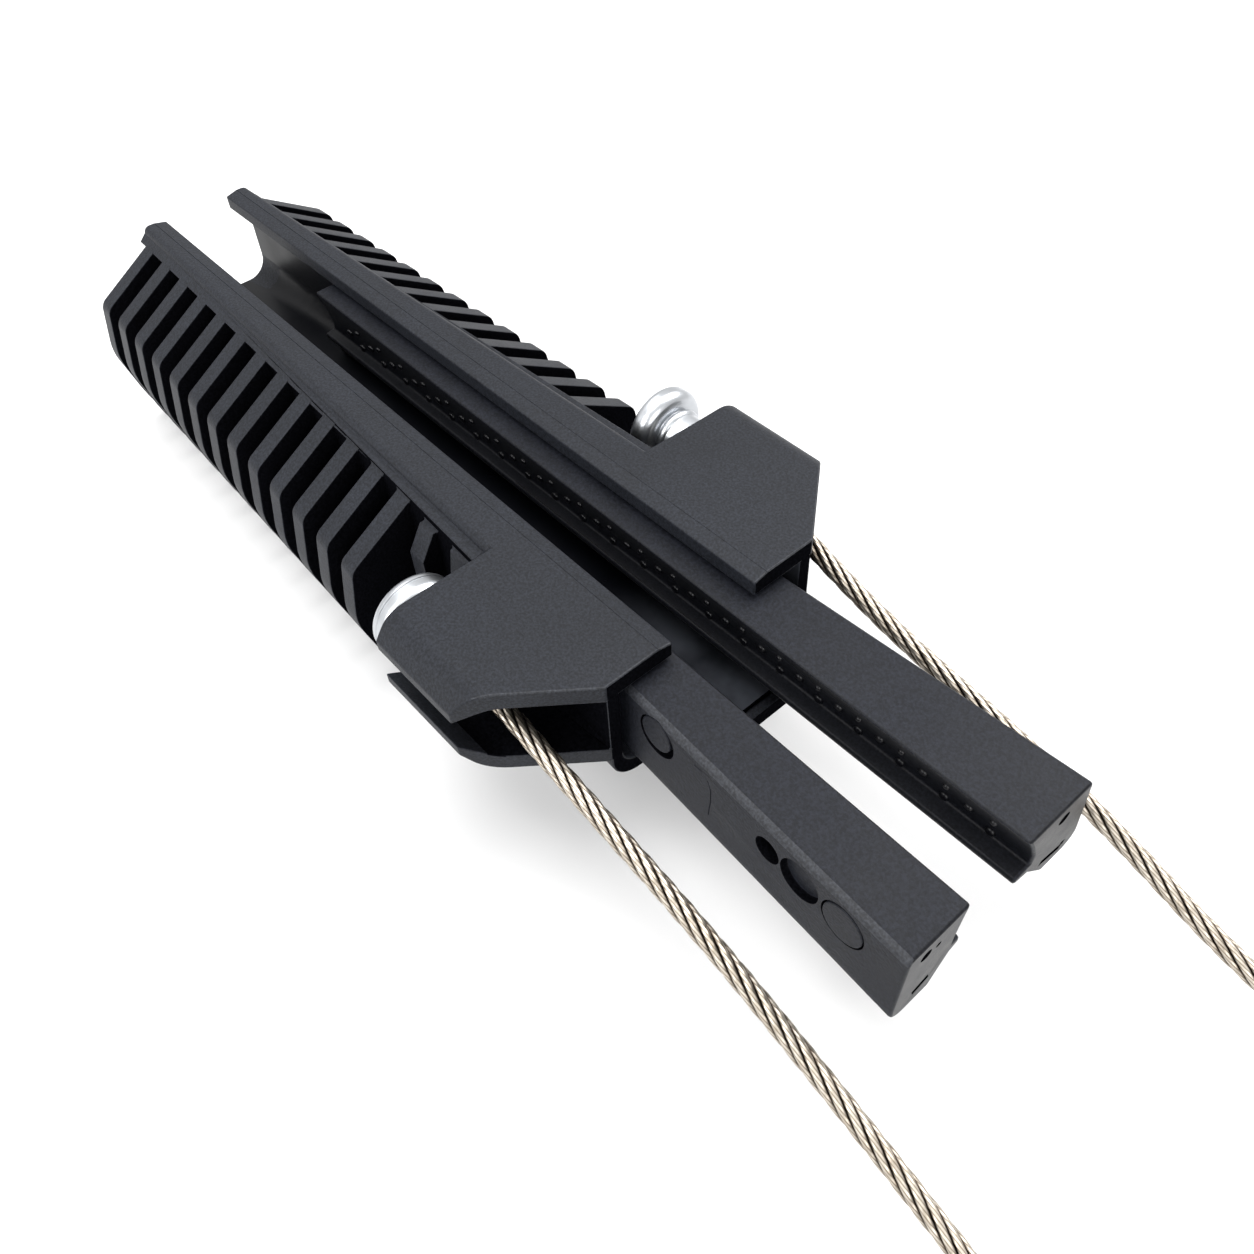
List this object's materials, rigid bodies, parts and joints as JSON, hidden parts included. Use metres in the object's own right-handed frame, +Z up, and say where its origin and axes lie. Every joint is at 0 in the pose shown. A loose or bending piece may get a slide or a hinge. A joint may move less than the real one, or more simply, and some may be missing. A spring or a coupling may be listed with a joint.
{
  "type": "anchor clamp",
  "caption": "Cable anchor clamp: ribbed, tapered plastic body, two sliding wedge jaws and a wire rope bail held by ferrules in slotted side lugs.",
  "frame": {"origin": "centre of the footprint of body and wedges, on the plane of the rib bottoms", "axes": "+X along the clamp from its narrow end towards the wire bail, +Z up out of the open slot, +Y to the right-hand wedge"},
  "size_m": [0.3262, 0.0722, 0.0384],
  "materials": {
    "body_plastic": "fine moulded grain",
    "wedge_plastic": "fine moulded grain",
    "wire": "bare stranded wire",
    "ferrule_metal": "bright zinc"
  },
  "bodies": {
    "clamp": {"clamp_body": "body_plastic", "bail_rope": "wire", "left_ferrule": "ferrule_metal", "right_ferrule": "ferrule_metal"},
    "left_jaw": {"left_wedge": "wedge_plastic"},
    "right_jaw": {"right_wedge": "wedge_plastic"}
  },
  "joints": [
    {"name": "left_wedge_slide", "type": "slide", "parent": "clamp", "child": "left_jaw", "axis": [0.9985, -0.0533, -0.0137], "range_m": [-0.036, 0.055]},
    {"name": "right_wedge_slide", "type": "slide", "parent": "clamp", "child": "right_jaw", "axis": [0.9985, 0.0533, -0.0137], "range_m": [-0.036, 0.055]}
  ]
}
